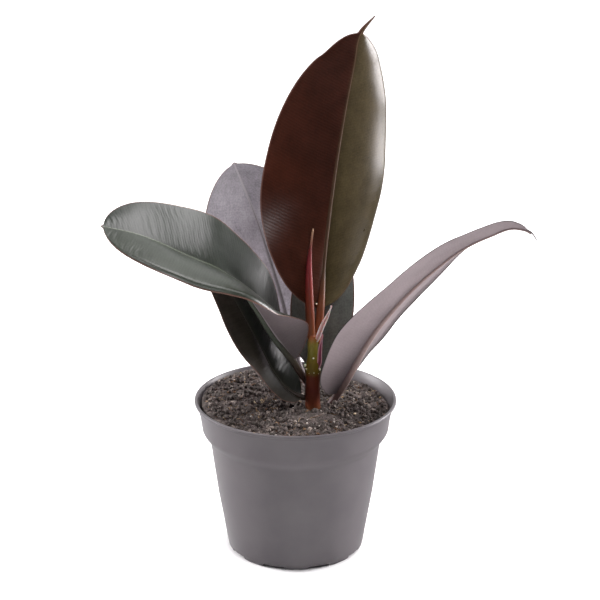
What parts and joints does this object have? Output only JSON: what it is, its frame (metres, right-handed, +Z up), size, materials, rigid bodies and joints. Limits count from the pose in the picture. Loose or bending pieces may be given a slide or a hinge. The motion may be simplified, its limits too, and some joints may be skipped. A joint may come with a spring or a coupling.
{
  "type": "potted rubber plant",
  "caption": "Young rubber plant with broad dark glossy leaves on a short stem, in a round grey nursery pot of soil.",
  "frame": {"origin": "centre of the pot's base, on the surface that it stands on", "axes": "+Z up along the pot's axis; -Y is the front, from which the upright leaf shows its upper side; +X towards the leaf whose underside shows"},
  "size_m": [0.2486, 0.1424, 0.3204],
  "materials": {
    "pot": "thin injection-moulded grey polypropylene, satin",
    "soil": "damp peat with bark fibre",
    "stem": "young bark, red-brown below and olive green above",
    "bud_sheath": "smooth red bud sheath",
    "stipule_pale": "dry pale pink papery scale",
    "stipule_pink": "dry magenta papery scale",
    "leaf": "glossy waxy leaf, dark burgundy green above and mauve brown below"
  },
  "bodies": {
    "root": {"pot": "pot", "soil": "soil", "stem": "stem", "bud_sheath": "bud_sheath", "stipule_pale": "stipule_pale", "stipule_pink": "stipule_pink", "leaf_upright": "leaf", "leaf_left": "leaf", "leaf_rear_left": "leaf", "leaf_lower_left": "leaf", "leaf_right": "leaf", "leaf_rear_right": "leaf"}
  },
  "joints": []
}
